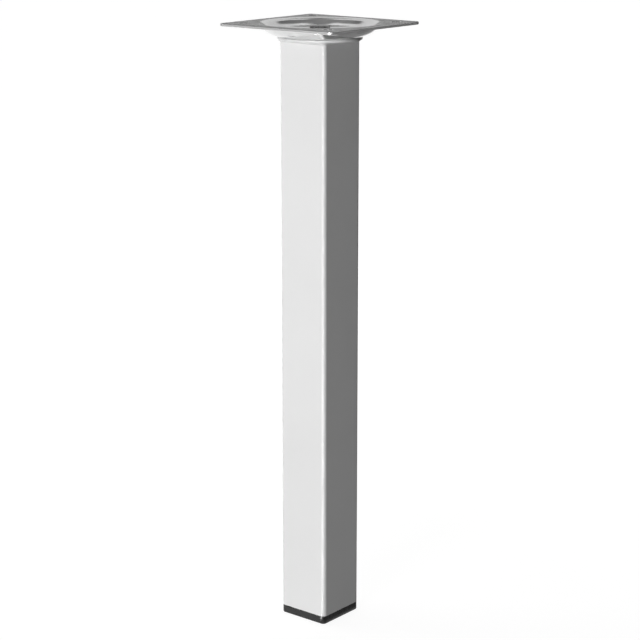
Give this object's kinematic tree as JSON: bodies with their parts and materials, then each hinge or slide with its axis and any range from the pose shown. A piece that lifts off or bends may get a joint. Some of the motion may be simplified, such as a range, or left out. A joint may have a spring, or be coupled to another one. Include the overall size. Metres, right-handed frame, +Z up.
{
  "type": "table leg",
  "caption": "Square steel tube table leg with a bolted, dished mounting plate on top and a plastic plug foot.",
  "frame": {"origin": "centre of the foot's underside, on the floor", "axes": "+Z up along the tube to the mounting plate; the tube's faces look along X and Y"},
  "size_m": [0.098, 0.098, 0.43],
  "materials": {
    "plated_steel": "bright plated pressed sheet",
    "bolt_steel": "plain plated fastener",
    "coated_steel": "smooth satin silver-grey coating",
    "black_plastic": "matte moulded black"
  },
  "bodies": {
    "root": {"mounting_plate": "plated_steel", "centre_bolt": "bolt_steel", "end_disc": "coated_steel", "tube_weld": "coated_steel", "leg_tube": "coated_steel", "weld_nut": "bolt_steel", "foot_plug": "black_plastic"}
  },
  "joints": []
}
